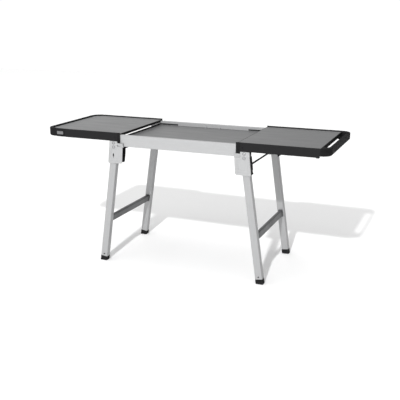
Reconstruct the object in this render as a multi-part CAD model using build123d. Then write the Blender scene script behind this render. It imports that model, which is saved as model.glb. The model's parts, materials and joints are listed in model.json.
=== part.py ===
from build123d import *
import os
from math import atan, cos, degrees, radians, sin

# Camp kitchen table: a low aluminium frame with a sunken centre panel, two trays that
# pull out to the left and right, and two pairs of splayed legs that fold up underneath.
# Millimetres. +X runs along the table, +Y to its back, +Z up. The origin is on the
# ground under the middle of the table. The trays stand pulled out and the legs open.

os.makedirs("parts", exist_ok=True)

# ---------------------------------------------------------------- driving dimensions
TABLE_TOP = 760.0          # top of the tray rims
TRAY_TIP_X = 822.0         # outer end of a pulled-out tray
TRAY_INNER_X = {"left": 345.0, "right": 334.0}     # inner ends of the pulled-out trays
TRAY_FACE_Y = 274.5        # outer face of the tray rails
FRAME_FACE_Y = 265.4       # outer face of the frame's side rails
FRAME_HALF_LENGTH = 406.0
FRAME_TOP = 749.0
FRAME_BOTTOM = 684.5
FRAME_RAIL_WIDTH = 18.0
PANEL_TOP = 725.0          # top of the sunken centre panel
PANEL_THICKNESS = 6.0
DECK_TOP = 754.4           # top of the tray decks
DECK_THICKNESS = 4.4
FOOT_X = 476.6             # middle of a foot on the ground
PIVOT_HEIGHT = {"left": 652.0, "right": 628.0}
SPLAY = 0.1451             # how far the legs lean outwards per unit of height

LEG_WIDTH = 40.0
LEG_DEPTH = 34.0
LEG_WALL = 1.6
LEG_CORNER = 3.8
LEG_FACE_Y = 271.8         # outer face of the leg tubes
AXLE_RADIUS = 4.8

# ---------------------------------------------------------------- derived dimensions
SPLAY_ANGLE = degrees(atan(SPLAY))
FOLD_RANGE = {"left": 90.0 + SPLAY_ANGLE, "right": 80.0 + SPLAY_ANGLE}
DECK_BOTTOM = DECK_TOP - DECK_THICKNESS
FRAME_INNER_Y = FRAME_FACE_Y - FRAME_RAIL_WIDTH
LEG_MIDDLE_Y = LEG_FACE_Y - LEG_DEPTH / 2
SIDES = {"left": -1, "right": 1}
ENDS = {"front": -1, "rear": 1}

# ---------------------------------------------------------------- small helpers


def block(x0, x1, y0, y1, z0, z1):
    """A box between two corners."""
    size = Box(abs(x1 - x0), abs(y1 - y0), abs(z1 - z0))
    return size.moved(Location(((x0 + x1) / 2, (y0 + y1) / 2, (z0 + z1) / 2)))


def rod_y(x, z, radius, y0, y1):
    """A round bar along Y."""
    bar = Cylinder(radius, abs(y1 - y0)).moved(Location((0, 0, 0), (90, 0, 0)))
    return bar.moved(Location((x, (y0 + y1) / 2, z)))


def rod_z(x, y, radius, z0, z1):
    """A round bar along Z."""
    return Cylinder(radius, abs(z1 - z0)).moved(Location((x, y, (z0 + z1) / 2)))


def slab_y(outline, y0, y1):
    """An outline drawn in X and Z, made solid from y0 to y1."""
    face = make_face(outline) if isinstance(outline, Wire) else outline
    return extrude(face.moved(Location((0, y0, 0))), amount=y1 - y0, dir=(0, 1, 0))


def xz_polygon(points, radius=0.0):
    """A closed outline in the XZ plane, its corners rounded alike."""
    outline = Polyline(*[(x, 0, z) for x, z in points], close=True).wire()
    face = Face(outline)
    if radius > 0:
        face = face.fillet_2d(radius, face.vertices())
    return face


def mirror_x(shape):
    return mirror(shape, about=Plane.YZ)


def mirror_y(shape):
    return mirror(shape, about=Plane.XZ)


def placed(shape, side, end):
    """A piece drawn for the right front corner, carried to another corner."""
    if side == "left":
        shape = mirror_x(shape)
    if end == "rear":
        shape = mirror_y(shape)
    return shape


def write(name, *shapes):
    """One STEP file, holding every solid of the shapes given."""
    solids = [solid for shape in shapes for solid in shape.solids()]
    item = solids[0] if len(solids) == 1 else Compound(children=solids)
    item.label = name
    export_step(item, f"parts/{name}.step")


# ---------------------------------------------------------------- frame: side rails
RAIL_WALL = 1.8
WEB_LOW = 714.0            # top of the rail's lower hollow
WEB_HIGH = 731.5           # middle of the web between the two slide channels
LEDGE_TOP = PANEL_TOP - PANEL_THICKNESS
LEDGE_DEPTH = 8.0
LEDGE_THICKNESS = 2.6
PANEL_HALF_LENGTH = 349.4
LOW_BAR_Z = (717.4, 728.4)     # slide bars of the left tray
HIGH_BAR_Z = (734.4, 745.4)    # slide bars of the right tray
SLIDE_BAR_Z = {"left": LOW_BAR_Z, "right": HIGH_BAR_Z}
SLIDE_BAR_Y = (251.4, 261.4)
BOLT_X = 380.0
BOLT_Z = (703.0, 680.4)
BOLT_RADIUS = 2.5


def side_rail():
    """The front rail: a box extrusion with three hollows and a ledge for the panel."""
    length = FRAME_HALF_LENGTH
    outer = block(-length, length, -FRAME_FACE_Y, -FRAME_INNER_Y, FRAME_BOTTOM, FRAME_TOP)
    long_edges = outer.edges().filter_by(Axis.X)
    rail = fillet(long_edges, 1.4)
    y0 = -FRAME_FACE_Y + RAIL_WALL
    y1 = -FRAME_INNER_Y - RAIL_WALL
    floors = (FRAME_BOTTOM + RAIL_WALL, WEB_LOW + RAIL_WALL / 2, WEB_HIGH + RAIL_WALL / 2)
    roofs = (WEB_LOW - RAIL_WALL / 2, WEB_HIGH - RAIL_WALL / 2, FRAME_TOP - RAIL_WALL)
    for low, high in zip(floors, roofs):
        rail -= block(-length - 1, length + 1, y0, y1, low, high)
    ledge_x = PANEL_HALF_LENGTH
    rail += block(-ledge_x, ledge_x, -FRAME_INNER_Y, -FRAME_INNER_Y + LEDGE_DEPTH,
                  LEDGE_TOP - LEDGE_THICKNESS, LEDGE_TOP)
    for x in (-BOLT_X, BOLT_X):
        rail -= rod_y(x, BOLT_Z[0], BOLT_RADIUS, -FRAME_FACE_Y - 1, -FRAME_INNER_Y + 1)
    return rail


def rail_end_bushes():
    """Nylon guides on the rail ends; each has one window for a tray's slide bar."""
    bushes = []
    for side in SIDES:
        z0, z1 = SLIDE_BAR_Z[side]
        face_x = FRAME_HALF_LENGTH
        plate = block(face_x, face_x + 3.5, -FRAME_FACE_Y, -FRAME_INNER_Y, FRAME_BOTTOM, FRAME_TOP)
        plate = fillet(plate.edges().filter_by(Axis.X), 1.4)
        plate += block(face_x - 14, face_x, -FRAME_FACE_Y + 2.1, -FRAME_INNER_Y - 2.1,
                       FRAME_BOTTOM + 2.2, WEB_LOW - 1.3)
        window = (SLIDE_BAR_Y[0] - 0.35, SLIDE_BAR_Y[1] + 0.35)
        plate -= block(face_x - 1, face_x + 5, -window[1], -window[0], z0 - 0.35, z1 + 0.35)
        for end in ENDS:
            bushes.append(placed(plate, side, end))
    return bushes


# ---------------------------------------------------------------- frame: centre panel
END_LIP_TOP = 732.0
END_LIP_X = (350.0, 356.0)
BEARER_X = 120.0
BEARER_HALF_WIDTH = 12.0
BEARER_HEIGHT = 12.0
BEARER_WALL = 1.5
CLIP_X = 44.0


def centre_panel():
    """The sunken sheet that lies on the two rails' ledges."""
    return block(-PANEL_HALF_LENGTH, PANEL_HALF_LENGTH, -FRAME_INNER_Y + 0.4, FRAME_INNER_Y - 0.4,
                 LEDGE_TOP, PANEL_TOP)


def panel_end_beam():
    """The beam at the panel's right end: a lip that stands above it and a shelf below."""
    x0, x1 = END_LIP_X
    half = FRAME_INNER_Y - 0.2
    lip = block(x0, x1, -half, half, LEDGE_TOP - 17, END_LIP_TOP)
    lip = fillet(lip.edges().filter_by(Axis.Y).group_by(Axis.Z)[-1], 1.2)
    shelf_half = FRAME_INNER_Y - LEDGE_DEPTH - 0.2
    shelf = block(x0 - 20, x0, -shelf_half, shelf_half, LEDGE_TOP - 3, LEDGE_TOP)
    return lip + shelf


def cross_bearers():
    """Two tubes under the panel, their flat ends tucked under the rails' ledges."""
    bearers = []
    half = FRAME_INNER_Y - LEDGE_DEPTH - 0.2
    bottom = LEDGE_TOP - BEARER_HEIGHT
    outer_x = BEARER_HALF_WIDTH
    inner_x = BEARER_HALF_WIDTH - BEARER_WALL
    for x in (-BEARER_X, BEARER_X):
        tube = block(x - outer_x, x + outer_x, -half, half, bottom, LEDGE_TOP)
        tube -= block(x - inner_x, x + inner_x, -half + 15, half - 15, bottom + BEARER_WALL,
                      LEDGE_TOP - BEARER_WALL)
        for sign in (-1, 1):
            tube += block(x - outer_x, x + outer_x, sign * half, sign * (FRAME_INNER_Y - 0.1),
                          bottom, LEDGE_TOP - LEDGE_THICKNESS - 0.2)
        bearers.append(tube)
    return bearers


def panel_clips():
    """Four small clips on the inner faces of the rails that hold the panel down."""
    clips = []
    for x in (-CLIP_X, CLIP_X):
        clip = block(x - 5, x + 5, -FRAME_INNER_Y, -FRAME_INNER_Y + 4, PANEL_TOP, PANEL_TOP + 10)
        clip = chamfer(clip.edges().filter_by(Axis.X).group_by(Axis.Z)[-1][-1:], 2.5)
        clips.append(clip)
        clips.append(mirror_y(clip))
    return clips


# ---------------------------------------------------------------- frame: hinge brackets
COVER_FACE_Y = 275.6
COVER_BACK_Y = 272.3
TAB_TOP = 712.6
HOUSING_BACK_Y = (230.4, 237.4)
NUT_SEAT_Y = (FRAME_INNER_Y - 8, HOUSING_BACK_Y[0])
BOLT_TIP_Y = 225.6
BUTTON_DROP = 20.5         # from the pivot down the leg to the lock button
BUTTON_RADIUS = 4.0
BUTTON_BORE_DEPTH = 18.0
NOSE_RADIUS = 3.4
NOSE_LENGTH = 1.4
GROOVE_DEPTH = 1.7
POCKET_DEPTH = 0.6         # each of the two steps pressed into a cover
BOLT_DISH_RADIUS = 9.0
BOLT_DISH_DEPTH = 2.0
WASHER_RADIUS = 6.4
WASHER_THICKNESS = 1.2
LOCK_SLOT_HALF = 8.5
LOCKED_CORNERS = (("left", "front"), ("right", "rear"))


def leg_x(z):
    """The middle of a leg at a height, as a distance from the table's middle."""
    return FOOT_X - SPLAY * z


def cover_outline():
    """The bracket cover seen from the front: a wide lower plate with a notch above it."""
    points = [
        (324, 694.6), (324, 702.4), (358.2, 702.4), (358.2, TAB_TOP), (407, TAB_TOP),
        (409.5, 680), (419, 595), (416, 587), (337, 589.5), (332, 596), (326.5, 674),
        (329.5, 682.6), (357, 683.6), (361, 689), (357, 694.6),
    ]
    return xz_polygon(points, 2.2)


def spacer_outline():
    """The solid part behind the cover's top, which bridges to the rail's face."""
    points = [(324, 678), (324, 702.4), (358.2, 702.4), (358.2, TAB_TOP), (407, TAB_TOP),
              (409.3, FRAME_BOTTOM), (364, FRAME_BOTTOM), (364, 678)]
    return xz_polygon(points, 2.0)


def cover_step(inset):
    """One of the nested steps pressed into the cover's face, this far in from the first."""
    right, left = 405 - inset, 339 + 0.8 * inset
    top, bottom = 673 - 0.6 * inset, 601 + 1.8 * inset
    points = [(left, top), (right, top), (right + 6, bottom), (left + 5, bottom + 1)]
    return xz_polygon(points, 5.0)


def ring_sector(x, z, radius, half_width, start, sweep, y0, y1):
    """A curved groove about a pivot, with round ends; angles turn in the XZ plane."""
    steps = 16
    tool = None
    for step in range(steps + 1):
        angle = radians(start + sweep * step / steps)
        hole = rod_y(x + radius * cos(angle), z + radius * sin(angle), half_width, y0, y1)
        tool = hole if tool is None else tool + hole
    band = Cylinder(radius + half_width, y1 - y0) - Cylinder(radius - half_width, y1 - y0 + 2)
    band = band.moved(Location((0, 0, 0), (90, 0, 0))).moved(Location((x, (y0 + y1) / 2, z)))
    reach = radius * 3
    corner_a = (x + reach * cos(radians(start)), z + reach * sin(radians(start)))
    middle = radians(start + sweep / 2)
    corner_b = (x + reach * cos(middle), z + reach * sin(middle))
    corner_c = (x + reach * cos(radians(start + sweep)), z + reach * sin(radians(start + sweep)))
    wedge = slab_y(xz_polygon([(x, z), corner_a, corner_b, corner_c]), y0, y1)
    return tool + (band & wedge)


def hinge_cover(side, end):
    """The pressed cover on the front of a bracket; drawn for the right front."""
    skin = slab_y(cover_outline(), -COVER_FACE_Y, -COVER_BACK_Y)
    front_edges = skin.edges().group_by(Axis.Y)[0]
    skin = chamfer(front_edges, 0.8)
    spacer = slab_y(spacer_outline(), -COVER_BACK_Y, -FRAME_FACE_Y)
    cover = skin + spacer
    for step, inset in enumerate((0, 8)):
        depth = POCKET_DEPTH * (step + 1)
        cover -= slab_y(cover_step(inset), -COVER_FACE_Y - 1, -COVER_FACE_Y + depth)
    for z in BOLT_Z:
        cover -= rod_y(BOLT_X, z, BOLT_DISH_RADIUS, -COVER_FACE_Y - 1, -COVER_FACE_Y + BOLT_DISH_DEPTH)
        cover -= rod_y(BOLT_X, z, BOLT_RADIUS, -COVER_FACE_Y - 1, -FRAME_FACE_Y + 1)
    if (side, end) in LOCKED_CORNERS:
        pivot_z = PIVOT_HEIGHT[side]
        x = leg_x(pivot_z)
        start = -90 + SPLAY_ANGLE
        cover -= ring_sector(x, pivot_z, BUTTON_DROP, BUTTON_RADIUS + 0.3, start,
                             -(FOLD_RANGE[side] + 1), -COVER_BACK_Y - GROOVE_DEPTH,
                             -COVER_BACK_Y + 1)
        slot_x = leg_x(pivot_z - BUTTON_DROP)
        slot_z = pivot_z - BUTTON_DROP
        for z in (slot_z - LOCK_SLOT_HALF, slot_z + LOCK_SLOT_HALF):
            cover -= rod_y(slot_x, z, 3.7, -COVER_FACE_Y - 1, -COVER_BACK_Y + 1)
        cover -= block(slot_x - 3.7, slot_x + 3.7, -COVER_FACE_Y - 1, -COVER_BACK_Y + 1,
                       slot_z - LOCK_SLOT_HALF, slot_z + LOCK_SLOT_HALF)
    return placed(cover, side, end)


HOUSING_WALL_BOTTOM = {"left": 580.0, "right": 613.0}   # the right walls stop under the axle


def housing_outline():
    """The nylon body seen from the front; it shows as a dark line round the cover."""
    points = [(338, 594), (332, 640), (330, 677.4), (364.6, 677.4), (364.6, 684.3), (407, 684.3),
              (417, 602), (421, 594), (413, 588), (342, 590)]
    return xz_polygon(points, 1.6)


def hinge_housing(side, end):
    """The nylon body behind the cover: back wall, roof and outer stop for the leg."""
    pivot_z = PIVOT_HEIGHT[side]
    back_y, wall_y = HOUSING_BACK_Y
    wall = slab_y(housing_outline(), -wall_y, -back_y)
    wall &= block(300, 430, -wall_y, -back_y, HOUSING_WALL_BOTTOM[side], 700)
    inside_y0 = -COVER_BACK_Y
    roof_z = pivot_z + LEG_WIDTH / 2 + 2.4
    roof = slab_y(housing_outline(), inside_y0, -wall_y)
    roof &= block(300, 430, inside_y0, -wall_y, roof_z, 700)
    lean = cos(atan(SPLAY))
    gap = (LEG_WIDTH / 2 + 0.35) / lean
    stop = slab_y(housing_outline(), inside_y0, -wall_y)
    clear = xz_polygon([(leg_x(720) + gap, 720), (leg_x(560) + gap, 560), (200, 560), (200, 720)])
    stop -= slab_y(clear, inside_y0 - 1, -wall_y + 1)
    body = wall + roof + stop
    flange = block(362, 404, -FRAME_INNER_Y, -FRAME_INNER_Y + 8, 684.3, 711)
    bridge = block(362, 404, -FRAME_INNER_Y, -back_y, 676, 684.3)
    body += flange + bridge
    x = leg_x(pivot_z)
    body += rod_y(x, pivot_z, 9, -back_y, -back_y + 6)
    body -= rod_y(x, pivot_z, AXLE_RADIUS + 0.06, -wall_y - 1, -back_y + 7)
    for z in BOLT_Z:
        body -= rod_y(BOLT_X, z, BOLT_RADIUS, inside_y0 - 1, -back_y + 8)
    return placed(body, side, end)


def hinge_bolts():
    """Two socket-head bolts through each cover."""
    bolts = []
    for side in SIDES:
        for end in ENDS:
            for z in BOLT_Z:
                seat = -COVER_FACE_Y + BOLT_DISH_DEPTH - WASHER_THICKNESS
                head = rod_y(BOLT_X, z, 4.8, seat - 3, seat)
                head = fillet(head.edges().group_by(Axis.Y)[0], 1.4)
                socket = extrude(Plane.XZ * RegularPolygon(2.6, 6), amount=3)
                socket = socket.moved(Location((BOLT_X, seat - 1.2, z)))
                shank = rod_y(BOLT_X, z, BOLT_RADIUS, seat, -BOLT_TIP_Y)
                bolts.append(placed(head - socket + shank, side, end))
    return bolts


def hinge_washers():
    """A wide washer under the head of every bolt."""
    washers = []
    for side in SIDES:
        for end in ENDS:
            for z in BOLT_Z:
                face = -COVER_FACE_Y + BOLT_DISH_DEPTH
                washer = rod_y(BOLT_X, z, WASHER_RADIUS, face - WASHER_THICKNESS, face)
                washer = fillet(washer.edges().group_by(Axis.Y)[0], 0.4)
                washer -= rod_y(BOLT_X, z, BOLT_RADIUS, face - 3, face + 1)
                washers.append(placed(washer, side, end))
    return washers


def hinge_nuts():
    """Nuts on the bolts: the upper ones inside the frame, the lower ones behind the walls."""
    nuts = []
    for side in SIDES:
        for end in ENDS:
            for z, seat in zip(BOLT_Z, NUT_SEAT_Y):
                nut = extrude(Plane.XZ * RegularPolygon(4.6, 6), amount=4)
                nut = nut.moved(Location((BOLT_X, -seat + 4, z)))
                nut -= rod_y(BOLT_X, z, BOLT_RADIUS, -seat - 1, -seat + 6)
                nuts.append(placed(nut, side, end))
    return nuts


# ---------------------------------------------------------------- trays
RAIL_WEB = 2.8
LIP_INNER_Y = 264.5
TRAY_RAIL_BOTTOM = 713.6
DECK_INSET = 3.0           # from the tray's outer faces to the deck's hidden edge
DECK_EDGE_Y = TRAY_FACE_Y - DECK_INSET
HOOK_END_X = 357.6         # just short of the bracket tab that stops it
HOOK_BOTTOM = 703.6
CAP_START_X = {"left": 692.0, "right": 769.0}
CORNER_RADIUS = {"left": 57.0, "right": 50.0}
END_LIP_WIDTH = 19.0
SLIDE_BAR_INNER_X = 206.0
END_CAP_FACE_X = 785.0      # where the left end's solid rim meets its hollow underside
HANDLE_CAP_BOTTOM = 720.0
BEARER_PLACES = (450.0, 620.0)
HANDLE_WALL_X = (770.0, 775.6)
HANDLE_BAR_X = (803.0, TRAY_TIP_X)
HANDLE_SLOT_HALF = 224.0
SOCKET_END_X = {"left": 784.0, "right": 798.0}


def tray_channel(x0, x1, bottom=TRAY_RAIL_BOTTOM):
    """A length of the front tray rail: a channel whose groove holds the deck's edge."""
    outer, inner = -TRAY_FACE_Y, -FRAME_FACE_Y - 0.5
    web = block(x0, x1, outer, outer + RAIL_WEB, bottom, TABLE_TOP)
    lip = block(x0, x1, outer + RAIL_WEB, -LIP_INNER_Y, DECK_TOP, TABLE_TOP)
    shelf = block(x0, x1, outer + RAIL_WEB, inner, DECK_BOTTOM - 2.6, DECK_BOTTOM)
    foot = block(x0, x1, outer + RAIL_WEB, inner, bottom, bottom + 2.6)
    rail = web + lip + shelf + foot
    rail = rail.clean()
    lip_edges = rail.edges().filter_by(Axis.X).group_by(Axis.Z)[-1]
    rail = fillet(lip_edges, 1.5)
    low_edge = rail.edges().filter_by(Axis.X).group_by(Axis.Z)[0].sort_by(Axis.Y)[0]
    return fillet(low_edge, 1.2)


def tray_rail(side, end):
    """A tray's long rail, from its stop hook to its moulded end."""
    return placed(tray_channel(HOOK_END_X, CAP_START_X[side]), side, end)


def stop_hooks(side):
    """Plugs on the inner ends of the tray rails; each hangs a hook down as an end stop."""
    x0, x1 = TRAY_INNER_X[side], HOOK_END_X
    outer, inner = -TRAY_FACE_Y, -FRAME_FACE_Y - 0.4
    web = block(x0, x1, outer, outer + RAIL_WEB, 740, TABLE_TOP)
    lip = block(x0, x1, outer + RAIL_WEB, -LIP_INNER_Y, DECK_TOP, TABLE_TOP)
    body = block(x0, x1, outer, inner, TRAY_RAIL_BOTTOM, DECK_BOTTOM)
    hook = block(x0, x1, outer, inner, HOOK_BOTTOM, TRAY_RAIL_BOTTOM)
    hook = fillet(hook.edges().filter_by(Axis.Y).group_by(Axis.Z)[0], 2.5)
    plug = web + lip + body + hook
    plug = plug.clean()
    top_edge = plug.edges().filter_by(Axis.X).group_by(Axis.Z)[-1]
    plug = fillet(top_edge, 1.5)
    return [placed(plug, side, end) for end in ENDS]


def inner_trim(side):
    """The strip that closes the deck's inner end and hangs between the frame rails."""
    x0, x1 = TRAY_INNER_X[side], TRAY_INNER_X[side] + 3
    low_half = FRAME_INNER_Y - 2
    strip = block(x0, x1, -264, 264, DECK_BOTTOM, DECK_TOP)
    strip += block(x0, x1, -low_half, low_half, 741, DECK_BOTTOM)
    return placed(strip.clean(), side, "front")


def bearer_screw_places():
    return [(x, y) for x in BEARER_PLACES for y in (-180.0, 0.0, 180.0)]


def deck(side):
    """The flat sheet of a tray, drawn for the right."""
    x0 = TRAY_INNER_X[side] + 3
    if side == "right":
        sheet = block(x0, HANDLE_WALL_X[0], -DECK_EDGE_Y, DECK_EDGE_Y, DECK_BOTTOM, DECK_TOP)
    else:
        sheet = block(x0, TRAY_TIP_X - DECK_INSET, -DECK_EDGE_Y, DECK_EDGE_Y, DECK_BOTTOM, DECK_TOP)
        corners = sheet.edges().filter_by(Axis.Z).group_by(Axis.X)[-1]
        sheet = fillet(corners, CORNER_RADIUS["left"] - DECK_INSET)
    for x, y in bearer_screw_places():
        sheet -= rod_z(x, y, 1.8, DECK_BOTTOM - 1, DECK_TOP - 2)
    return placed(sheet, side, "front")


def deck_bearers(side):
    """Two flat channels across the underside of a deck."""
    bearers = []
    half = FRAME_INNER_Y - 2.4
    for x in BEARER_PLACES:
        channel = block(x - 12, x + 12, -half, half, 741.2, DECK_BOTTOM)
        channel -= block(x - 10.4, x + 10.4, -half - 1, half + 1, 740, DECK_BOTTOM - 1.6)
        for place_x, y in bearer_screw_places():
            if place_x == x:
                channel -= rod_z(x, y, 1.8, 740, DECK_BOTTOM + 1)
        bearers.append(placed(channel, side, "front"))
    return bearers


def deck_screws(side):
    """The screws that go up through the bearers into the deck."""
    screws = []
    for x, y in bearer_screw_places():
        top = DECK_BOTTOM - 1.6
        head = rod_z(x, y, 3.6, top - 2.2, top)
        head = fillet(head.edges().group_by(Axis.Z)[0], 0.9)
        screw = head + rod_z(x, y, 1.8, top, DECK_TOP - 2.2)
        screws.append(placed(screw, side, "front"))
    return screws


def slide_bars(side):
    """The bars that carry a tray, running inside the frame rails."""
    z0, z1 = SLIDE_BAR_Z[side]
    bar = block(SLIDE_BAR_INNER_X, SOCKET_END_X[side], -SLIDE_BAR_Y[1], -SLIDE_BAR_Y[0], z0, z1)
    bar = chamfer(bar.edges().filter_by(Axis.X), 0.8)
    return [placed(bar, side, end) for end in ENDS]


def tip_outline(side, x0, inset=0.0):
    """A tray's end seen from above, round at its outer corners."""
    tip = TRAY_TIP_X - inset
    half = TRAY_FACE_Y - inset
    face = Rectangle(tip - x0, 2 * half).moved(Location(((tip + x0) / 2, 0, 0)))
    outer = face.vertices().group_by(Axis.X)[-1]
    return fillet(outer, CORNER_RADIUS[side] - inset)


def tip_solid(side, x0, z0, z1, inset=0.0):
    return extrude(tip_outline(side, x0, inset).moved(Location((0, 0, z0))), amount=z1 - z0)


def outer_rim_edges(side, shape, level):
    """The edges round the outside of a tray's end at the top or bottom."""
    edges = shape.edges().group_by(Axis.Z)[level]
    return [edge for edge in edges if edge.center().X > TRAY_TIP_X - CORNER_RADIUS[side] - 1]


def end_cap():
    """The left tray's moulded end, drawn for the right: rim, floor ring and two arms."""
    start = CAP_START_X["left"]
    bottom = TRAY_RAIL_BOTTOM + 0.8
    solid_x = END_CAP_FACE_X
    cap = tip_solid("left", solid_x - 35, bottom, TABLE_TOP)
    cap = fillet(outer_rim_edges("left", cap, 0), 8.0)
    cap = fillet(outer_rim_edges("left", cap, -1), 3.0)
    cap -= block(solid_x - 36, solid_x, -FRAME_FACE_Y - 0.5, FRAME_FACE_Y + 0.5, 700, DECK_BOTTOM)
    cap -= tip_solid("left", solid_x - 36, DECK_BOTTOM, DECK_TOP, inset=DECK_INSET)
    opening = tip_solid("left", solid_x - 36, DECK_TOP, TABLE_TOP + 1, inset=END_LIP_WIDTH)
    cap -= opening & block(0, 900, -LIP_INNER_Y, LIP_INNER_Y, 700, 800)
    cap -= block(solid_x - 36, solid_x - 20, -LIP_INNER_Y, LIP_INNER_Y, DECK_TOP, TABLE_TOP + 1)
    z0, z1 = SLIDE_BAR_Z["left"]
    for sign in (-1, 1):
        arm = tray_channel(start, solid_x - 35, bottom)
        socket = block(solid_x - 28, solid_x, -FRAME_FACE_Y - 0.5, -247, bottom + 1, DECK_BOTTOM)
        socket -= block(solid_x - 40, solid_x - 1, -SLIDE_BAR_Y[1], -SLIDE_BAR_Y[0], z0, z1)
        piece = arm + socket
        cap += piece if sign < 0 else mirror_y(piece)
    return mirror_x(cap)


def handle_cap():
    """The right tray's moulded end: a wall behind the deck and a carry bar round a slot."""
    start = CAP_START_X["right"]
    cap = tip_solid("right", start, HANDLE_CAP_BOTTOM, TABLE_TOP)
    cap = fillet(outer_rim_edges("right", cap, 0), 9.0)
    cap = fillet(outer_rim_edges("right", cap, -1), 3.0)
    slot = block(HANDLE_WALL_X[1], HANDLE_BAR_X[0], -HANDLE_SLOT_HALF, HANDLE_SLOT_HALF, 700, 800)
    slot = fillet(slot.edges().filter_by(Axis.Z), 11.0)
    cap -= slot
    cap -= block(start - 1, HANDLE_WALL_X[0], -DECK_EDGE_Y, DECK_EDGE_Y, DECK_BOTTOM, DECK_TOP)
    cap -= block(start - 1, HANDLE_WALL_X[0], -LIP_INNER_Y, LIP_INNER_Y, DECK_TOP, TABLE_TOP + 1)
    cap -= block(start - 1, HANDLE_WALL_X[1] + 1, -HANDLE_SLOT_HALF + 10, HANDLE_SLOT_HALF - 10,
                 700, 742)
    cap -= block(start - 1, HANDLE_WALL_X[0], -247, 247, 700, 742)
    z0, z1 = SLIDE_BAR_Z["right"]
    for sign in (-1, 1):
        y0, y1 = sorted((sign * SLIDE_BAR_Y[0], sign * SLIDE_BAR_Y[1]))
        cap -= block(start - 1, SOCKET_END_X["right"], y0, y1, z0, z1)
    bar_top = block(HANDLE_WALL_X[1] - 0.1, 900, -HANDLE_SLOT_HALF + 14, HANDLE_SLOT_HALF - 14,
                    TABLE_TOP - 2, TABLE_TOP + 1)
    return cap - bar_top


def badge_plate():
    """A blank plate on the front of the left tray's end."""
    plate = block(707, 748, -TRAY_FACE_Y - 0.9, -TRAY_FACE_Y, 727, 745)
    plate = fillet(plate.edges().filter_by(Axis.Y), 4.0)
    plate = chamfer(plate.edges().group_by(Axis.Y)[0], 0.4)
    return mirror_x(plate)


def rail_pads():
    """Small rubber pads under the right tray's rails, just short of the moulded end."""
    pad = block(750, 766, -TRAY_FACE_Y + 0.6, -FRAME_FACE_Y - 0.6, TRAY_RAIL_BOTTOM - 2.6,
                TRAY_RAIL_BOTTOM)
    pad = fillet(pad.edges().filter_by(Axis.Y).group_by(Axis.Z)[0], 1.0)
    return [placed(pad, "right", end) for end in ENDS]


# ---------------------------------------------------------------- legs
FOOT_HEIGHT = 27.0
FOOT_PIN_RISE = 13.0       # from the bottom of the tube up to the foot's pin
KNUCKLE_LENGTH = 26.0      # from the pivot down to the top of the tube
CROSSBAR_MIDDLE = 250.0
CROSSBAR_HEIGHT = 36.0
CROSSBAR_THICKNESS = 20.0


def leg_length(side):
    """From the pivot to the ground, along the leg."""
    return PIVOT_HEIGHT[side] / cos(atan(SPLAY))


def hang(shape, side):
    """Carries a shape from leg space, pivot at the origin and leg down -Z, to the right leg."""
    pivot_z = PIVOT_HEIGHT[side]
    tilted = shape.moved(Location((0, 0, 0), (0, -SPLAY_ANGLE, 0)))
    return tilted.moved(Location((leg_x(pivot_z), 0, pivot_z)))


def tube_section(z0, z1, half_x, half_y, radius):
    solid = block(-half_x, half_x, -half_y, half_y, z0, z1)
    return fillet(solid.edges().filter_by(Axis.Z), radius)


def leg_tube(side, end):
    """The silver tube of a leg, from its nylon head down to the foot."""
    length = leg_length(side)
    low = -length + FOOT_HEIGHT
    half_x, half_y = LEG_WIDTH / 2, LEG_DEPTH / 2
    tube = tube_section(low, -KNUCKLE_LENGTH, half_x, half_y, LEG_CORNER)
    tube -= tube_section(low - 1, -KNUCKLE_LENGTH + 1, half_x - LEG_WALL, half_y - LEG_WALL,
                         LEG_CORNER - LEG_WALL)
    tube = tube.moved(Location((0, -LEG_MIDDLE_Y, 0)))
    tube -= rod_y(0, low + FOOT_PIN_RISE, 3.0, -LEG_FACE_Y - 1, -LEG_FACE_Y + 5)
    return placed(hang(tube, side), side, end)


def knuckle(side, end):
    """The nylon head of a leg: a round eye on the axle and a plug inside the tube."""
    half_y = LEG_DEPTH / 2 - 0.15
    radius = LEG_WIDTH / 2 - 0.4
    y0, y1 = -LEG_MIDDLE_Y - half_y, -LEG_MIDDLE_Y + half_y
    head = rod_y(0, 0, radius, y0, y1)
    head += block(-radius, radius, y0, y1, -KNUCKLE_LENGTH, 0)
    plug = tube_section(-KNUCKLE_LENGTH - 40, -KNUCKLE_LENGTH, LEG_WIDTH / 2 - LEG_WALL - 0.1,
                        LEG_DEPTH / 2 - LEG_WALL - 0.1, LEG_CORNER - LEG_WALL)
    body = head + plug.moved(Location((0, -LEG_MIDDLE_Y, 0)))
    body -= rod_y(0, 0, AXLE_RADIUS, y0 - 1, y1 + 1)
    if (side, end) in LOCKED_CORNERS:
        body -= rod_y(0, -BUTTON_DROP, BUTTON_RADIUS + 0.08, y0 - 1, y0 + BUTTON_BORE_DEPTH)
    return placed(hang(body, side), side, end)


def lock_button(side, end):
    """The spring button in a leg's head; its nose shows in the slot of the cover."""
    face = -LEG_FACE_Y + 0.15
    button = rod_y(0, -BUTTON_DROP, BUTTON_RADIUS, face + 0.2, face + 9.4)
    nose = rod_y(0, -BUTTON_DROP, NOSE_RADIUS, -COVER_BACK_Y - NOSE_LENGTH, face + 0.3)
    tail = rod_y(0, -BUTTON_DROP, 1.5, face + 9.4, face + 15)
    return placed(hang(button + nose + tail, side), side, end)


def lock_spring(side, end):
    """The coil spring behind the button, seated at the bottom of its bore."""
    bottom = -LEG_FACE_Y + 0.15 + BUTTON_BORE_DEPTH
    wire = 0.35
    coil = Helix(pitch=1.5, height=6.0, radius=2.8)
    start = coil @ 0
    section = Plane(origin=start, z_dir=coil % 0) * Circle(wire)
    spring = sweep(section, path=coil, is_frenet=True)
    spring = spring.moved(Location((0, 0, 0), (90, 0, 0)))
    spring = spring.moved(Location((0, bottom - 0.6, -BUTTON_DROP)))
    return placed(hang(spring, side), side, end)


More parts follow.
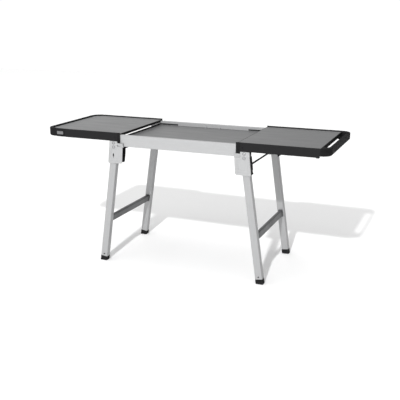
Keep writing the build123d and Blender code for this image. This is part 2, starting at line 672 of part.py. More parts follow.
def foot(side, end):
    """The black foot: a shoe cut level with the ground and a plug up the tube."""
    length = leg_length(side)
    shoe_top = -length + FOOT_HEIGHT
    shoe = tube_section(-length - 12, shoe_top, LEG_WIDTH / 2 + 0.5, LEG_DEPTH / 2 + 0.7,
                        LEG_CORNER + 0.5)
    shoe = chamfer(shoe.edges().group_by(Axis.Z)[-1], 0.6)
    plug = tube_section(shoe_top, shoe_top + 30, LEG_WIDTH / 2 - LEG_WALL - 0.1,
                        LEG_DEPTH / 2 - LEG_WALL - 0.1, LEG_CORNER - LEG_WALL)
    body = (shoe + plug).moved(Location((0, -LEG_MIDDLE_Y, 0)))
    body -= rod_y(0, shoe_top + FOOT_PIN_RISE, 3.0, -LEG_FACE_Y - 1, -LEG_FACE_Y + 8)
    body = hang(body, side)
    below = block(FOOT_X - 60, FOOT_X + 60, -LEG_FACE_Y - 10, -LEG_FACE_Y + 50, -40, 0)
    return placed(body - below, side, end)


def foot_pins(side):
    """A round-headed pin through each leg that holds its foot."""
    pins = []
    for end in ENDS:
        z = -leg_length(side) + FOOT_HEIGHT + FOOT_PIN_RISE
        head = rod_y(0, z, 4.0, -LEG_FACE_Y - 1.2, -LEG_FACE_Y)
        head = fillet(head.edges().group_by(Axis.Y)[0], 0.8)
        shank = rod_y(0, z, 3.0, -LEG_FACE_Y, -LEG_FACE_Y + 7)
        pins.append(placed(hang(head + shank, side), side, end))
    return pins


def crossbar(side):
    """The flat tube between the two legs of a pair, with a plate on each end."""
    inner = LEG_FACE_Y - LEG_DEPTH
    middle = -(PIVOT_HEIGHT[side] - CROSSBAR_MIDDLE) / cos(atan(SPLAY))
    half_x, half_z = CROSSBAR_THICKNESS / 2, CROSSBAR_HEIGHT / 2
    bar = block(-half_x, half_x, -inner + 3, inner - 3, middle - half_z, middle + half_z)
    bar = fillet(bar.edges().filter_by(Axis.Y), 3.0)
    hollow = block(-half_x + 1.6, half_x - 1.6, -inner, inner, middle - half_z + 1.6,
                   middle + half_z - 1.6)
    bar -= hollow
    for sign in (-1, 1):
        plate = block(-half_x - 3, half_x + 3, sign * (inner - 3), sign * inner,
                      middle - half_z - 3, middle + half_z + 3)
        bar += fillet(plate.edges().filter_by(Axis.Y), 3.5)
    return placed(hang(bar, side), side, "front")


def axle(side):
    """The rod that joins the heads of a pair and turns in the four walls."""
    pivot_z = PIVOT_HEIGHT[side]
    reach = LEG_FACE_Y - 0.4
    return placed(rod_y(leg_x(pivot_z), pivot_z, AXLE_RADIUS, -reach, reach), side, "front")


# ---------------------------------------------------------------- the whole table


def write_frame():
    rail = side_rail()
    write("side_rail_front", rail)
    write("side_rail_rear", mirror_y(rail))
    write("rail_end_bushes", *rail_end_bushes())
    write("centre_panel", centre_panel())
    beam = panel_end_beam()
    write("panel_end_beam_right", beam)
    write("panel_end_beam_left", mirror_x(beam))
    write("cross_bearers", *cross_bearers())
    write("panel_clips", *panel_clips())
    for side in SIDES:
        for end in ENDS:
            write(f"hinge_cover_{side}_{end}", hinge_cover(side, end))
            write(f"hinge_housing_{side}_{end}", hinge_housing(side, end))
    write("hinge_bolts", *hinge_bolts())
    write("hinge_washers", *hinge_washers())
    write("hinge_nuts", *hinge_nuts())


def write_tray(side):
    write(f"{side}_deck", deck(side))
    for end in ENDS:
        write(f"{side}_tray_rail_{end}", tray_rail(side, end))
    write(f"{side}_stop_hooks", *stop_hooks(side))
    write(f"{side}_inner_trim", inner_trim(side))
    write(f"{side}_slide_bars", *slide_bars(side))
    write(f"{side}_deck_bearers", *deck_bearers(side))
    write(f"{side}_deck_screws", *deck_screws(side))


def write_legs(side):
    for end in ENDS:
        write(f"{side}_leg_{end}", leg_tube(side, end))
        write(f"{side}_foot_{end}", foot(side, end))
    write(f"{side}_knuckles", *[knuckle(side, end) for end in ENDS])
    write(f"{side}_crossbar", crossbar(side))
    write(f"{side}_axle", axle(side))
    write(f"{side}_foot_pins", *foot_pins(side))


write_frame()
for table_side in SIDES:
    write_tray(table_side)
    write_legs(table_side)
write("left_end_cap", end_cap())
write("right_handle_cap", handle_cap())
write("badge_plate", badge_plate())
write("right_rail_pads", *rail_pads())
for table_side, leg_end in LOCKED_CORNERS:
    write(f"{table_side}_lock_button", lock_button(table_side, leg_end))
    write(f"{table_side}_lock_spring", lock_spring(table_side, leg_end))
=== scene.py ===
import json
from math import atan, cos, pi, radians, sin, tau

import bpy
from mathutils import Matrix, Vector


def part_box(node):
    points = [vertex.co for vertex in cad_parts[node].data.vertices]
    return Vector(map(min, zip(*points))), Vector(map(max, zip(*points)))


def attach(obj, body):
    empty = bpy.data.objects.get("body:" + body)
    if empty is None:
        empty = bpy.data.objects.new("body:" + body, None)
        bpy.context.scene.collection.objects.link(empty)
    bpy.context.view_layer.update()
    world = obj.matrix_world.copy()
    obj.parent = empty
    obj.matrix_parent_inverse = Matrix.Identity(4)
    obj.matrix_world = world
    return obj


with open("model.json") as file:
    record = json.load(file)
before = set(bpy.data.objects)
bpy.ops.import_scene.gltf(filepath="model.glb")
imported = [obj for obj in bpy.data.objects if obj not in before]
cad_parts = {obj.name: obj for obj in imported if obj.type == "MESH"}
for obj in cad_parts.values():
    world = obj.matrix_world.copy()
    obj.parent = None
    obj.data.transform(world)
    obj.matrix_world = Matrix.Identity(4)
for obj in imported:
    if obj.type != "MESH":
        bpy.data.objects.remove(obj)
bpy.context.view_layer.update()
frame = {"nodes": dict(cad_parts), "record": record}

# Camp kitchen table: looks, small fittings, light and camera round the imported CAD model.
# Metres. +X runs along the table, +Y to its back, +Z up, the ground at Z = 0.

NODES = frame["nodes"]
SIDES = {"left": -1, "right": 1}
ENDS = {"front": -1, "rear": 1}

# ------------------------------------------------------------------ dimensions of the table

def low(node):
    """The lowest corner of a CAD node."""
    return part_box(node)[0]


def high(node):
    """The highest corner of a CAD node."""
    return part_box(node)[1]


def middle(node):
    """The middle of a CAD node's box."""
    return (low(node) + high(node)) / 2


DECK_TOP = high("left_deck").z
PANEL_TOP = high("centre_panel").z
PANEL_HALF_LENGTH = high("centre_panel").x
TRAY_FACE_Y = high("left_tray_rail_rear").y
LIP_INNER_Y = low("left_tray_rail_rear").y       # inner face of a tray's long rims
TRAY_INNER_X = {"left": -high("left_inner_trim").x, "right": low("right_inner_trim").x}
TRAY_TIP_X = high("right_handle_cap").x
CAP_BOTTOM = {"left": low("left_end_cap").z, "right": low("right_handle_cap").z}
END_LIP_WIDTH = 0.019          # width of the rim at the left tray's end
END_CORNER_RADIUS = 0.057
END_STEP_X = 0.765             # where the left tray's rim steps from narrow to wide
HANDLE_WALL_X = high("right_deck").x             # inner face of the wall before the handle
HANDLE_FLAT_X = (0.8045, 0.8125)                 # the flat stretch under the handle bar
RAIL_WIDTH = 0.018
RAIL_INNER_Y = high("side_rail_rear").y - RAIL_WIDTH    # inner faces of the frame's side rails
SPLAY = 0.1451                 # how far the legs lean outwards per unit of height
SPLAY_ANGLE = atan(SPLAY)
LEG_MIDDLE_Y = middle("left_leg_rear").y
LEG_INNER_Y = low("left_leg_rear").y
CROSSBAR_MIDDLE_Z = middle("left_crossbar").z
CROSSBAR_HALF = (0.010, 0.018)
FOOT_HEIGHT = 0.027
FOOT_HALF = (0.0205, 0.0177)


# ------------------------------------------------------------------ material helpers

def ramp(tree, value, least, most, start, end):
    """Carries a value from start..end to least..most."""
    node = tree.nodes.new("ShaderNodeMapRange")
    node.inputs["From Min"].default_value = start
    node.inputs["From Max"].default_value = end
    node.inputs["To Min"].default_value = least
    node.inputs["To Max"].default_value = most
    tree.links.new(value, node.inputs["Value"])
    return node.outputs["Result"]


class Recipe:
    """A material under construction: its nodes, links and principled shader."""

    def __init__(self, name, colour, metallic, roughness, specular=0.5):
        self.material = bpy.data.materials.new(name)
        self.material.use_nodes = True
        self.tree = self.material.node_tree
        self.shader = self.tree.nodes["Principled BSDF"]
        self.colour = colour
        self.shader.inputs["Base Color"].default_value = (*colour, 1)
        self.shader.inputs["Metallic"].default_value = metallic
        self.shader.inputs["Roughness"].default_value = roughness
        self.shader.inputs["Specular IOR Level"].default_value = specular
        self.place = self.add("ShaderNodeTexCoord").outputs["Object"]

    def add(self, kind, **inputs):
        node = self.tree.nodes.new(kind)
        for key, value in inputs.items():
            node.inputs[key.replace("_", " ")].default_value = value
        return node

    def link(self, value, node, key):
        self.tree.links.new(value, node.inputs[key])

    def stretched(self, scale):
        """Object coordinates, scaled along each axis to draw a texture out."""
        mapping = self.add("ShaderNodeMapping", Scale=scale)
        self.link(self.place, mapping, "Vector")
        return mapping.outputs["Vector"]

    def noise(self, place, scale, detail=4.0, roughness=0.55):
        node = self.add("ShaderNodeTexNoise", Scale=scale, Detail=detail, Roughness=roughness)
        self.link(place, node, "Vector")
        return node.outputs["Fac"]

    def cells(self, scale):
        """Distance to the middle of the nearest cell, for pebbled surfaces."""
        node = self.add("ShaderNodeTexVoronoi", Scale=scale)
        self.link(self.place, node, "Vector")
        return node.outputs["Distance"]

    def span(self, value, least, most, start=0.3, end=0.7):
        """Carries a texture value from start..end to least..most."""
        return ramp(self.tree, value, least, most, start, end)

    def product(self, one, other):
        node = self.add("ShaderNodeMath")
        node.operation = "MULTIPLY"
        self.link(one, node, 0)
        self.link(other, node, 1)
        return node.outputs["Value"]

    def edge_mask(self, radius):
        """1 along outer edges, 0 on flat faces, broken up so that the wear is uneven."""
        bevel = self.add("ShaderNodeBevel", Radius=radius)
        bevel.samples = 4
        geometry = self.add("ShaderNodeNewGeometry")
        likeness = self.add("ShaderNodeVectorMath")
        likeness.operation = "DOT_PRODUCT"
        self.link(bevel.outputs["Normal"], likeness, 0)
        self.link(geometry.outputs["Normal"], likeness, 1)
        mask = self.span(likeness.outputs["Value"], 1.0, 0.0, 0.82, 0.985)
        patches = self.span(self.noise(self.place, 90.0), 0.0, 1.0, 0.42, 0.62)
        return self.product(mask, patches)

    def crevice_mask(self, reach):
        """1 deep in corners and recesses, 0 on open faces; it marks where shade is painted."""
        shelter = self.add("ShaderNodeAmbientOcclusion", Distance=reach)
        shelter.samples = 6
        return self.span(shelter.outputs["AO"], 1.0, 0.0, 0.35, 0.85)

    def blend(self, factor, first, second):
        """A colour mix; first is a colour or a socket, second a colour."""
        mix = self.add("ShaderNodeMixRGB")
        self.link(factor, mix, "Fac")
        if isinstance(first, bpy.types.NodeSocket):
            self.link(first, mix, "Color1")
        else:
            mix.inputs["Color1"].default_value = (*first, 1)
        mix.inputs["Color2"].default_value = (*second, 1)
        return mix.outputs["Color"]

    def shade(self, amount):
        """The base colour times a number."""
        return tuple(part * amount for part in self.colour)

    def paint(self, colour):
        self.link(colour, self.shader, "Base Color")

    def gloss(self, value):
        self.link(value, self.shader, "Roughness")

    def bump(self, height, strength, distance, under=None):
        node = self.add("ShaderNodeBump", Strength=strength, Distance=distance)
        self.link(height, node, "Height")
        if under is not None:
            self.link(under, node, "Normal")
        self.link(node.outputs["Normal"], self.shader, "Normal")
        return node.outputs["Normal"]


# ------------------------------------------------------------------ materials
ALONG_X, ALONG_Y, ALONG_Z = 0, 1, 2


def anodised(name, colour, roughness, along, metallic=1.0, specular=0.5, worn=None, paint_crevice_shade=False):
    """Anodised metal: die lines along its length, a soft sheen, rubbed edges, and painted shade in its
    corners and recesses.
    """
    recipe = Recipe(name, colour, metallic, roughness, specular)
    draw = [700.0, 700.0, 700.0]
    draw[along] = 5.0
    lines = recipe.noise(recipe.stretched(draw), 1.0, detail=3.0)
    clouds = recipe.noise(recipe.place, 11.0, detail=4.0)
    scuffs = recipe.span(recipe.noise(recipe.place, 55.0, detail=6.0), 0.0, 1.0, 0.60, 0.74)
    base = recipe.blend(recipe.span(lines, 0.0, 1.0), recipe.shade(0.95), recipe.shade(1.04))
    base = recipe.blend(scuffs, base, recipe.shade(1.08))
    if worn is not None:
        base = recipe.blend(recipe.edge_mask(0.0009), base, worn)
    # painted shade: darkens the colour in corners, recesses and next to other parts, where less light
    # reaches
    if paint_crevice_shade:
        base = recipe.blend(recipe.crevice_mask(0.005), base, recipe.shade(0.35))
    recipe.paint(base)
    recipe.gloss(recipe.span(clouds, roughness - 0.05, roughness + 0.07))
    recipe.bump(lines, 0.08, 0.0002)
    return recipe.material


def moulded_nylon(name, colour, roughness):
    """Glass-filled nylon: a spark-eroded grain, flow marks and paler rubbed edges."""
    recipe = Recipe(name, colour, 0.0, roughness, specular=0.03)
    flow = recipe.noise(recipe.stretched((9.0, 26.0, 26.0)), 1.0, detail=5.0)
    grain = recipe.cells(1300.0)
    rubbed = recipe.edge_mask(0.0012)
    base = recipe.blend(recipe.span(flow, 0.0, 1.0), recipe.shade(0.8), recipe.shade(1.35))
    recipe.paint(recipe.blend(rubbed, base, recipe.shade(3.0)))
    recipe.gloss(recipe.span(flow, roughness - 0.05, roughness + 0.1))
    recipe.bump(grain, 0.22, 0.0002)
    return recipe.material


def deck_board(name, colour):
    """Grey composite sheet: a fine pebbled print, faint wipe marks and a few scuffs."""
    recipe = Recipe(name, colour, 0.0, 0.42, specular=0.5)
    pebbles = recipe.cells(520.0)
    wipes = recipe.noise(recipe.stretched((5.0, 22.0, 5.0)), 1.0, detail=6.0, roughness=0.6)
    scuffs = recipe.span(recipe.noise(recipe.place, 34.0, detail=7.0), 0.0, 1.0, 0.62, 0.76)
    base = recipe.blend(recipe.span(wipes, 0.0, 1.0), recipe.shade(0.95), recipe.shade(1.05))
    base = recipe.blend(recipe.span(pebbles, 0.35, 0.0, 0.1, 0.7), base, recipe.shade(0.82))
    recipe.paint(recipe.blend(scuffs, base, recipe.shade(1.12)))
    recipe.gloss(recipe.span(wipes, 0.38, 0.5))
    recipe.bump(pebbles, 0.16, 0.0003)
    return recipe.material


def rubber(name, colour):
    """Moulded rubber, dull, with dust in its grain."""
    recipe = Recipe(name, colour, 0.0, 0.75, specular=0.1)
    grain = recipe.noise(recipe.place, 900.0, detail=3.0)
    dust = recipe.noise(recipe.place, 45.0, detail=6.0)
    base = recipe.blend(recipe.span(dust, 0.0, 1.0), recipe.shade(0.8), recipe.shade(1.5))
    recipe.paint(recipe.blend(recipe.edge_mask(0.0010), base, recipe.shade(3.0)))
    recipe.gloss(recipe.span(dust, 0.66, 0.85))
    recipe.bump(grain, 0.22, 0.0002)
    return recipe.material


def plated_steel(name, colour, roughness, metallic=1.0, specular=0.5):
    """Turned or rolled steel with fine handling marks in its plating."""
    recipe = Recipe(name, colour, metallic, roughness, specular)
    marks = recipe.noise(recipe.place, 260.0, detail=5.0)
    turning = recipe.noise(recipe.stretched((1200.0, 30.0, 1200.0)), 1.0, detail=2.0)
    recipe.paint(recipe.blend(recipe.span(marks, 0.0, 1.0), recipe.shade(0.82), recipe.shade(1.1)))
    recipe.gloss(recipe.span(marks, roughness - 0.06, roughness + 0.14))
    recipe.bump(turning, 0.1, 0.0001)
    return recipe.material


SILVER = (0.40, 0.403, 0.407)
RAW_METAL = (0.42, 0.42, 0.43)
BRIGHT_EDGE = (0.55, 0.55, 0.56)

FINISHES = {
    # the three silver finishes have shade painted into their corners and recesses
    "silver_extrusion": anodised("silver_extrusion", SILVER, 0.45, ALONG_X,
                                 metallic=0.40, worn=BRIGHT_EDGE, paint_crevice_shade=True),
    "silver_leg": anodised("silver_leg", (0.350, 0.353, 0.357), 0.42, ALONG_Z,
                           metallic=0.22, worn=BRIGHT_EDGE, paint_crevice_shade=True),
    "silver_cover": anodised("silver_cover", SILVER, 0.44, ALONG_Z,
                             metallic=0.40, worn=BRIGHT_EDGE, paint_crevice_shade=True),
    "black_nylon": moulded_nylon("black_nylon", (0.0122, 0.0122, 0.0126), 0.6),
    "black_rail": anodised("black_rail", (0.0155, 0.0155, 0.0162), 0.45, ALONG_X,
                           metallic=0.0, specular=0.06, worn=(0.07, 0.07, 0.07)),
    "grey_board": deck_board("grey_board", (0.128, 0.129, 0.131)),
    "dark_crossbar": anodised("dark_crossbar", (0.14, 0.142, 0.145), 0.45, ALONG_Y, worn=RAW_METAL),
    "mill_aluminium": anodised("mill_aluminium", (0.45, 0.45, 0.46), 0.38, ALONG_X),
    "black_steel": plated_steel("black_steel", (0.012, 0.012, 0.013), 0.45, metallic=0.0,
                                specular=0.1),
    "bright_steel": plated_steel("bright_steel", (0.5, 0.5, 0.51), 0.28),
    "black_rubber": rubber("black_rubber", (0.012, 0.012, 0.0125)),
    "badge_metal": anodised("badge_metal", (0.21, 0.21, 0.215), 0.35, ALONG_X),
}


def paint_nodes():
    """Gives each CAD node the finish of its slot in the record."""
    for part in frame["record"]["subparts"]:
        mesh = NODES[part["node"]].data
        mesh.materials.clear()
        mesh.materials.append(FINISHES[part["material_slot"]])


def soften_edges(width=0.0005):
    """Rounds the sharp edges of the plain sheets and strips, so that they catch light."""
    names = ["centre_panel", "left_deck", "right_deck", "cross_bearers", "panel_clips",
             "panel_end_beam_left", "panel_end_beam_right", "badge_plate"]
    names += [f"{side}_{part}" for side in SIDES for part in ("inner_trim", "deck_bearers")]
    for name in names:
        bevel = NODES[name].modifiers.new("soft edges", "BEVEL")
        bevel.width = width
        bevel.segments = 2
        bevel.limit_method = "ANGLE"
        bevel.angle_limit = radians(50)


# ------------------------------------------------------------------ mesh helpers

def new_piece(name, verts, faces, body, slot):
    """A smooth-shaded piece that rides on a body and takes a slot's finish."""
    mesh = bpy.data.meshes.new(name)
    mesh.from_pydata(verts, [], faces)
    mesh.validate()
    mesh.shade_smooth()
    mesh.materials.append(FINISHES[slot])
    piece = bpy.data.objects.new(name, mesh)
    bpy.context.collection.objects.link(piece)
    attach(piece, body)
    return piece


def tube(path, radius, plane_normal, closed=False, sides=8, ripple=0.0):
    """A tube along points in one plane; ripple makes it swell like a row of weld pools."""
    verts, faces = [], []
    count = len(path)
    points_per_pool = 4
    normal = Vector(plane_normal).normalized()
    for index, point in enumerate(path):
        before = path[index - 1] if closed or index > 0 else point
        after = path[(index + 1) % count] if closed or index < count - 1 else point
        across = normal.cross(Vector(after) - Vector(before)).normalized()
        reach = radius * (1 + ripple * sin(index * tau / points_per_pool))
        for step in range(sides):
            angle = tau * step / sides
            offset = across * cos(angle) + normal * sin(angle)
            verts.append(Vector(point) + offset * reach)
    runs = count if closed else count - 1
    for index in range(runs):
        here, there = index * sides, (index + 1) % count * sides
        for step in range(sides):
            ahead = (step + 1) % sides
            faces.append((here + step, here + ahead, there + ahead, there + step))
    if not closed:
        faces.append(tuple(reversed(range(sides))))
        faces.append(tuple(range((count - 1) * sides, count * sides)))
    return verts, faces


def joined(parts):
    """Several (verts, faces) lists as one."""
    verts, faces = [], []
    for part_verts, part_faces in parts:
        start = len(verts)
        verts += part_verts
        faces += [tuple(start + index for index in face) for face in part_faces]
    return verts, faces


def moved(part, matrix):
    """A (verts, faces) pair carried by a matrix."""
    verts, faces = part
    return [matrix @ Vector(vert) for vert in verts], faces


def rounded_rectangle(half_x, half_y, radius, step_length):
    """Points round a rectangle with round corners, evenly spread, in the XY plane."""
    arc_steps = 4
    points = []
    for quarter in range(4):
        turn = quarter * pi / 2
        sign_x = 1 if quarter in (0, 3) else -1
        sign_y = 1 if quarter in (0, 1) else -1
        centre = Vector((sign_x * (half_x - radius), sign_y * (half_y - radius)))
        for step in range(arc_steps + 1):
            angle = turn + step / arc_steps * pi / 2
            points.append(centre + Vector((cos(angle), sin(angle))) * radius)
    even = []
    for index, point in enumerate(points):
        following = points[(index + 1) % len(points)]
        pieces = max(1, round((following - point).length / step_length))
        even += [point.lerp(following, step / pieces) for step in range(pieces)]
    return even


def cross_head(radius):
    """A domed screw head with a cross recess, standing on the XY plane and facing +Z.

    Reaches and heights are in head radii; each ring of the mesh lists both for every side."""
    sides = 32
    dome = ((1.0, -0.05), (1.0, 0.16), (0.94, 0.32), (0.80, 0.44), (0.64, 0.50))
    arm_reach = 0.50
    core_reach = 0.18
    rim_height = 0.52
    bottom_height = 0.20
    recess_taper = 0.85
    rings = [[(reach, height)] * sides for reach, height in dome]
    recess = [arm_reach if side % 8 in (0, 1, 7) else core_reach for side in range(sides)]
    rings.append([(reach, rim_height) for reach in recess])
    rings.append([(reach * recess_taper, bottom_height) for reach in recess])
    verts, faces = [], []
    for ring in rings:
        for side, (reach, height) in enumerate(ring):
            angle = tau * side / sides
            verts.append(Vector((cos(angle) * reach, sin(angle) * reach, height)) * radius)
    for level in range(len(rings) - 1):
        for side in range(sides):
            ahead = (side + 1) % sides
            under, over = level * sides, (level + 1) * sides
            faces.append((under + side, under + ahead, over + ahead, over + side))
    last = (len(rings) - 1) * sides
    faces.append(tuple(range(last, last + sides)))
    return verts, faces


def facing(place, direction, twist=0.0):
    """The matrix that sets a piece at a place with its +Z along a direction."""
    turn = Vector(direction).to_track_quat("Z", "Y").to_matrix().to_4x4()
    return Matrix.Translation(place) @ turn @ Matrix.Rotation(twist, 4, "Z")


def pivot(side):
    """The middle of a leg pair's axle."""
    joints = {joint["name"]: joint for joint in frame["record"]["behaviour"]["joints"]}
    return Vector(joints[f"{side}_leg_fold"]["pos_m"])


def leg_place(side, local):
    """A point in a leg's own space, with the pivot at the origin and the leg down -Z."""
    x, y, z = local
    outwards = x * cos(SPLAY_ANGLE) - z * sin(SPLAY_ANGLE)
    height = x * sin(SPLAY_ANGLE) + z * cos(SPLAY_ANGLE)
    return Vector((pivot(side).x + SIDES[side] * outwards, y, pivot(side).z + height))


# ------------------------------------------------------------------ small fittings
SEAL_RADIUS = 0.0017
SEAL_START = 0.004             # from a tray's inner end to the seal's end
PANEL_SEAL_RADIUS = 0.0008
# dark strips that paint in the shade the trays' inner ends throw on the side rails
SHADE_STRIP_X = (0.226, 0.348)
SHADE_STRIP_MIDDLE_Z = 0.7318
SHADE_STRIP_HALF = (0.0008, 0.0036)
SHADE_STRIP_CHAMFER = 0.001
RAIL_SCREW_X = 0.370
RAIL_SCREW_Z = 0.7345
RAIL_SCREW_RADIUS = 0.0042
CAP_SCREW_X = {"left": 0.800, "right": 0.7865}
CAP_SCREW_ROWS = {"left": (-0.190, -0.065, 0.065, 0.190), "right": (-0.240, 0.240)}
CAP_SCREW_RADIUS = 0.0036
RIB_COUNT = 21
RIB_PITCH = 0.006
RIB_RADIUS = 0.0013
WELD_RADIUS = 0.0017
WELD_INSET = 0.003             # from a leg's inner face to the middle of the bead
WELD_CORNER = 0.003
WELD_STEP = 0.0009             # between points along the bead, four to a weld pool
WELD_RIPPLE = 0.12
BAND_DROPS = (0.006, 0.011)    # below the top of a foot
BAND_RADIUS = 0.0008
BAND_CORNER = 0.005
OUTLINE_STEP = 0.004           # spacing of the points along a straight side
BADGE_INSET = 0.0022           # from the plate's edge to the middle of the raised line
BADGE_CORNER = 0.0025
BADGE_LINE_RADIUS = 0.0005


def left_seal_path():
    """Round the inner foot of the left tray's rim; worked out for +X, then mirrored."""
    corner = END_CORNER_RADIUS - END_LIP_WIDTH
    wide_y = TRAY_FACE_Y - END_LIP_WIDTH
    end_x = TRAY_TIP_X - END_LIP_WIDTH
    start = TRAY_INNER_X["left"] + SEAL_START
    half = [(start, LIP_INNER_Y), (END_STEP_X, LIP_INNER_Y), (END_STEP_X, wide_y)]
    arc_steps = 8
    for step in range(arc_steps + 1):
        angle = pi / 2 * (1 - step / arc_steps)
        half.append((end_x - corner + corner * cos(angle), wide_y - corner + corner * sin(angle)))
    other = [(x, -y) for x, y in reversed(half)]
    return [(-x, y, DECK_TOP) for x, y in half + other]


def right_seal_path():
    """Along the inner feet of the right tray's rims and the wall before the handle."""
    start = TRAY_INNER_X["right"] + SEAL_START
    return [(start, -LIP_INNER_Y, DECK_TOP), (HANDLE_WALL_X, -LIP_INNER_Y, DECK_TOP),
            (HANDLE_WALL_X, LIP_INNER_Y, DECK_TOP), (start, LIP_INNER_Y, DECK_TOP)]


def make_seals():
    """Thin black seals where the boards meet their rims."""
    up = (0, 0, 1)
    for side, path in (("left", left_seal_path()), ("right", right_seal_path())):
        new_piece(f"{side}_deck_seal", *tube(path, SEAL_RADIUS, up), f"{side}_tray", "black_rubber")
    strips = []
    for sign in ENDS.values():
        path = [(x, sign * RAIL_INNER_Y, PANEL_TOP) for x in (-PANEL_HALF_LENGTH, PANEL_HALF_LENGTH)]
        strips.append(tube(path, PANEL_SEAL_RADIUS, up))
    new_piece("panel_seal", *joined(strips), "frame", "black_rubber")


def strip(x0, x1, middle_y, middle_z):
    """A flat strip along X with round edges and chamfered ends."""
    half_depth, half_height = SHADE_STRIP_HALF
    outline = rounded_rectangle(half_depth, half_height, half_depth * 0.6, OUTLINE_STEP)
    end_size = 0.8
    rings = ((x0, end_size), (x0 + SHADE_STRIP_CHAMFER, 1.0), (x1 - SHADE_STRIP_CHAMFER, 1.0), (x1, end_size))
    count = len(outline)
    verts = []
    for x, size in rings:
        verts += [Vector((x, middle_y + y * size, middle_z + z * size)) for y, z in outline]
    faces = [tuple(reversed(range(count))), tuple(range(3 * count, 4 * count))]
    for ring in range(len(rings) - 1):
        for step in range(count):
            here, there = ring * count, (ring + 1) * count
            ahead = (step + 1) % count
            faces.append((here + step, here + ahead, there + ahead, there + step))
    return verts, faces


def make_shade_strips(side):
    """Dark strips low on the inner faces of the side rails, near the trays' inner ends: painted shade
    for the shadow the trays' ends throw on the rails.
    """
    strips = []
    for sign in ENDS.values():
        x0, x1 = sorted(SIDES[side] * x for x in SHADE_STRIP_X)
        strips.append(strip(x0, x1, sign * RAIL_INNER_Y, SHADE_STRIP_MIDDLE_Z))
    new_piece(f"{side}_shade_strips", *joined(strips), "frame", "black_rail")


def make_rail_screws(side):
    """The screws that hold the stop hooks in the tray rails, one on each face."""
    heads = []
    for sign in ENDS.values():
        place = (SIDES[side] * RAIL_SCREW_X, sign * TRAY_FACE_Y, RAIL_SCREW_Z)
        twist = 0.3 + sign     # the two crosses are turned differently
        heads.append(moved(cross_head(RAIL_SCREW_RADIUS), facing(place, (0, sign, 0), twist)))
    new_piece(f"{side}_rail_screws", *joined(heads), f"{side}_tray", "black_steel")


def make_cap_screws(side):
    """Screws up into the underside of a moulded end."""
    heads = []
    for index, y in enumerate(CAP_SCREW_ROWS[side]):
        place = (SIDES[side] * CAP_SCREW_X[side], y, CAP_BOTTOM[side])
        twist = 0.7 * index    # each cross is turned a little further
        heads.append(moved(cross_head(CAP_SCREW_RADIUS), facing(place, (0, 0, -1), twist)))
    new_piece(f"{side}_cap_screws", *joined(heads), f"{side}_tray", "bright_steel")


def make_grip_ribs():
    """Finger ribs under the middle of the handle."""
    ribs = []
    for index in range(RIB_COUNT):
        y = (index - RIB_COUNT // 2) * RIB_PITCH
        path = [(x, y, CAP_BOTTOM["right"]) for x in HANDLE_FLAT_X]
        ribs.append(tube(path, RIB_RADIUS, (0, 0, 1)))
    new_piece("handle_grip_ribs", *joined(ribs), "right_tray", "black_rubber")


def make_crossbar_welds(side):
    """A rippled weld round each end of a crossbar, against its end plate."""
    drop = (CROSSBAR_MIDDLE_Z - pivot(side).z) / cos(SPLAY_ANGLE)
    outline = rounded_rectangle(*CROSSBAR_HALF, WELD_CORNER, WELD_STEP)
    beads = []
    for sign in ENDS.values():
        y = sign * (LEG_INNER_Y - WELD_INSET)
        path = [leg_place(side, (x, y, drop + z)) for x, z in outline]
        beads.append(tube(path, WELD_RADIUS, (0, 1, 0), closed=True, ripple=WELD_RIPPLE))
    new_piece(f"{side}_crossbar_welds", *joined(beads), f"{side}_legs", "dark_crossbar")


def make_foot_bands(side):
    """Two raised bands round each rubber foot."""
    length = pivot(side).z / cos(SPLAY_ANGLE)
    outline = rounded_rectangle(*FOOT_HALF, BAND_CORNER, OUTLINE_STEP)
    down = leg_place(side, (0, 0, -1)) - leg_place(side, (0, 0, 0))
    bands = []
    for sign in ENDS.values():
        for drop in BAND_DROPS:
            z = -length + FOOT_HEIGHT - drop
            path = [leg_place(side, (x, sign * LEG_MIDDLE_Y + y, z)) for x, y in outline]
            bands.append(tube(path, BAND_RADIUS, down, closed=True))
    new_piece(f"{side}_foot_bands", *joined(bands), f"{side}_legs", "black_rubber")


def make_badge_border():
    """A raised line round the blank badge."""
    half = (high("badge_plate") - low("badge_plate")) / 2
    outline = rounded_rectangle(half.x - BADGE_INSET, half.z - BADGE_INSET, BADGE_CORNER, OUTLINE_STEP)
    centre = middle("badge_plate")
    path = [(centre.x + x, low("badge_plate").y, centre.z + z) for x, z in outline]
    border = tube(path, BADGE_LINE_RADIUS, (0, 1, 0), closed=True)
    new_piece("badge_border", *border, "left_tray", "badge_metal")


paint_nodes()
soften_edges()
make_seals()
for table_side in SIDES:
    make_shade_strips(table_side)
    make_rail_screws(table_side)
    make_cap_screws(table_side)
    make_crossbar_welds(table_side)
    make_foot_bands(table_side)
make_grip_ribs()
make_badge_border()


# ------------------------------------------------------------------ floor, light, camera
KEY_PLACE = (0.7, -5.5, 4.7)
KEY_POWER = 27.0
KEY_RADIUS = 0.12              # softens the shadow's edge
FLOOR_HALF = 10.0
FLOOR_COLOUR = (0.94, 0.94, 0.94)
WORLD_TOP = 1.17               # strength overhead
WORLD_LEFT = 1.00              # strength low down on the left
WORLD_RIGHT = 0.12             # strength low down on the right
WORLD_FRONT = 1.5              # strength of a wide soft light low down in front
FRONT_DIRECTION = (-0.35, -0.94, 0.0)   # towards its middle
SIDE_FADE = (-0.50, 0.05)      # from left to right, along the direction's X
FRONT_FADE = (0.55, 0.90)      # cosines of the angle from the front light's middle
TOP_FADE = (0.45, 0.95)        # from low down to overhead, along the direction's Z
BACKDROP = 1.04                # what is seen behind the floor, whatever lights the table
CAMERA_PLACE = (1.478, -3.496, 1.426)
CAMERA_TURN = (74.10, 0.0, 22.62)
CAMERA_LENS = 61.08


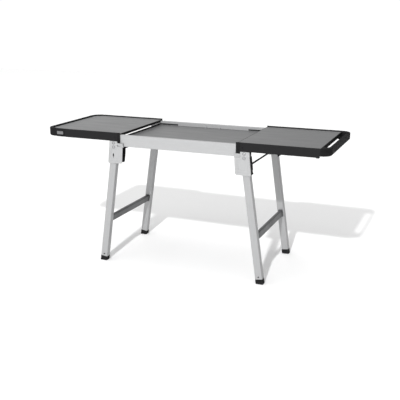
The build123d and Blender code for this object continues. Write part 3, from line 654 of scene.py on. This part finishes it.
def make_floor():
    """A plain pale floor, large enough to reach past every view."""
    size = FLOOR_HALF
    corners = [(-size, -size, 0), (size, -size, 0), (size, size, 0), (-size, size, 0)]
    mesh = bpy.data.meshes.new("floor")
    mesh.from_pydata(corners, [], [(0, 1, 2, 3)])
    floor = bpy.data.objects.new("floor", mesh)
    bpy.context.collection.objects.link(floor)
    recipe = Recipe("floor", FLOOR_COLOUR, 0.0, 1.0, specular=0.0)
    mesh.materials.append(recipe.material)


def key_light():
    """A small lamp in front of the table, as strong far off as near; it throws the soft shadow."""
    light = bpy.data.lights.new("key", "POINT")
    light.energy = KEY_POWER
    light.shadow_soft_size = KEY_RADIUS
    light.use_nodes = True
    tree = light.node_tree
    falloff = tree.nodes.new("ShaderNodeLightFalloff")
    falloff.inputs["Strength"].default_value = 1.0
    tree.links.new(falloff.outputs["Constant"], tree.nodes["Emission"].inputs["Strength"])
    lamp = bpy.data.objects.new("key", light)
    lamp.location = KEY_PLACE
    bpy.context.collection.objects.link(lamp)


def mixed(tree, factor, first, second):
    """From first, a socket, to second, a number, as factor goes from 0 to 1."""
    node = tree.nodes.new("ShaderNodeMix")
    tree.links.new(factor, node.inputs["Factor"])
    tree.links.new(first, node.inputs["A"])
    node.inputs["B"].default_value = second
    return node.outputs["Result"]


def make_world():
    """Soft studio light: bright overhead, in front and on the left, dim on the right.

    The camera sees one even backdrop in its place."""
    world = bpy.data.worlds.new("studio")
    world.use_nodes = True
    tree = world.node_tree
    direction = tree.nodes.new("ShaderNodeTexCoord").outputs["Generated"]
    split = tree.nodes.new("ShaderNodeSeparateXYZ")
    tree.links.new(direction, split.inputs["Vector"])
    likeness = tree.nodes.new("ShaderNodeVectorMath")
    likeness.operation = "DOT_PRODUCT"
    likeness.inputs[1].default_value = FRONT_DIRECTION
    tree.links.new(direction, likeness.inputs[0])

    sideways = ramp(tree, split.outputs["X"], WORLD_LEFT, WORLD_RIGHT, *SIDE_FADE)
    in_front = ramp(tree, likeness.outputs["Value"], 0.0, 1.0, *FRONT_FADE)
    overhead = ramp(tree, split.outputs["Z"], 0.0, 1.0, *TOP_FADE)
    light = mixed(tree, in_front, sideways, WORLD_FRONT)
    light = mixed(tree, overhead, light, WORLD_TOP)
    seen = tree.nodes.new("ShaderNodeLightPath").outputs["Is Camera Ray"]
    background = tree.nodes["Background"]
    background.inputs["Color"].default_value = (1, 1, 1, 1)
    tree.links.new(mixed(tree, seen, light, BACKDROP), background.inputs["Strength"])
    bpy.context.scene.world = world


def make_camera():
    """The camera that frames the open table from the front right."""
    data = bpy.data.cameras.new("camera")
    data.lens = CAMERA_LENS
    data.sensor_width = 36.0
    camera = bpy.data.objects.new("camera", data)
    camera.location = CAMERA_PLACE
    camera.rotation_euler = [radians(angle) for angle in CAMERA_TURN]
    bpy.context.collection.objects.link(camera)
    bpy.context.scene.camera = camera


make_floor()
make_world()
key_light()
make_camera()
bpy.context.scene.view_settings.view_transform = "Standard"
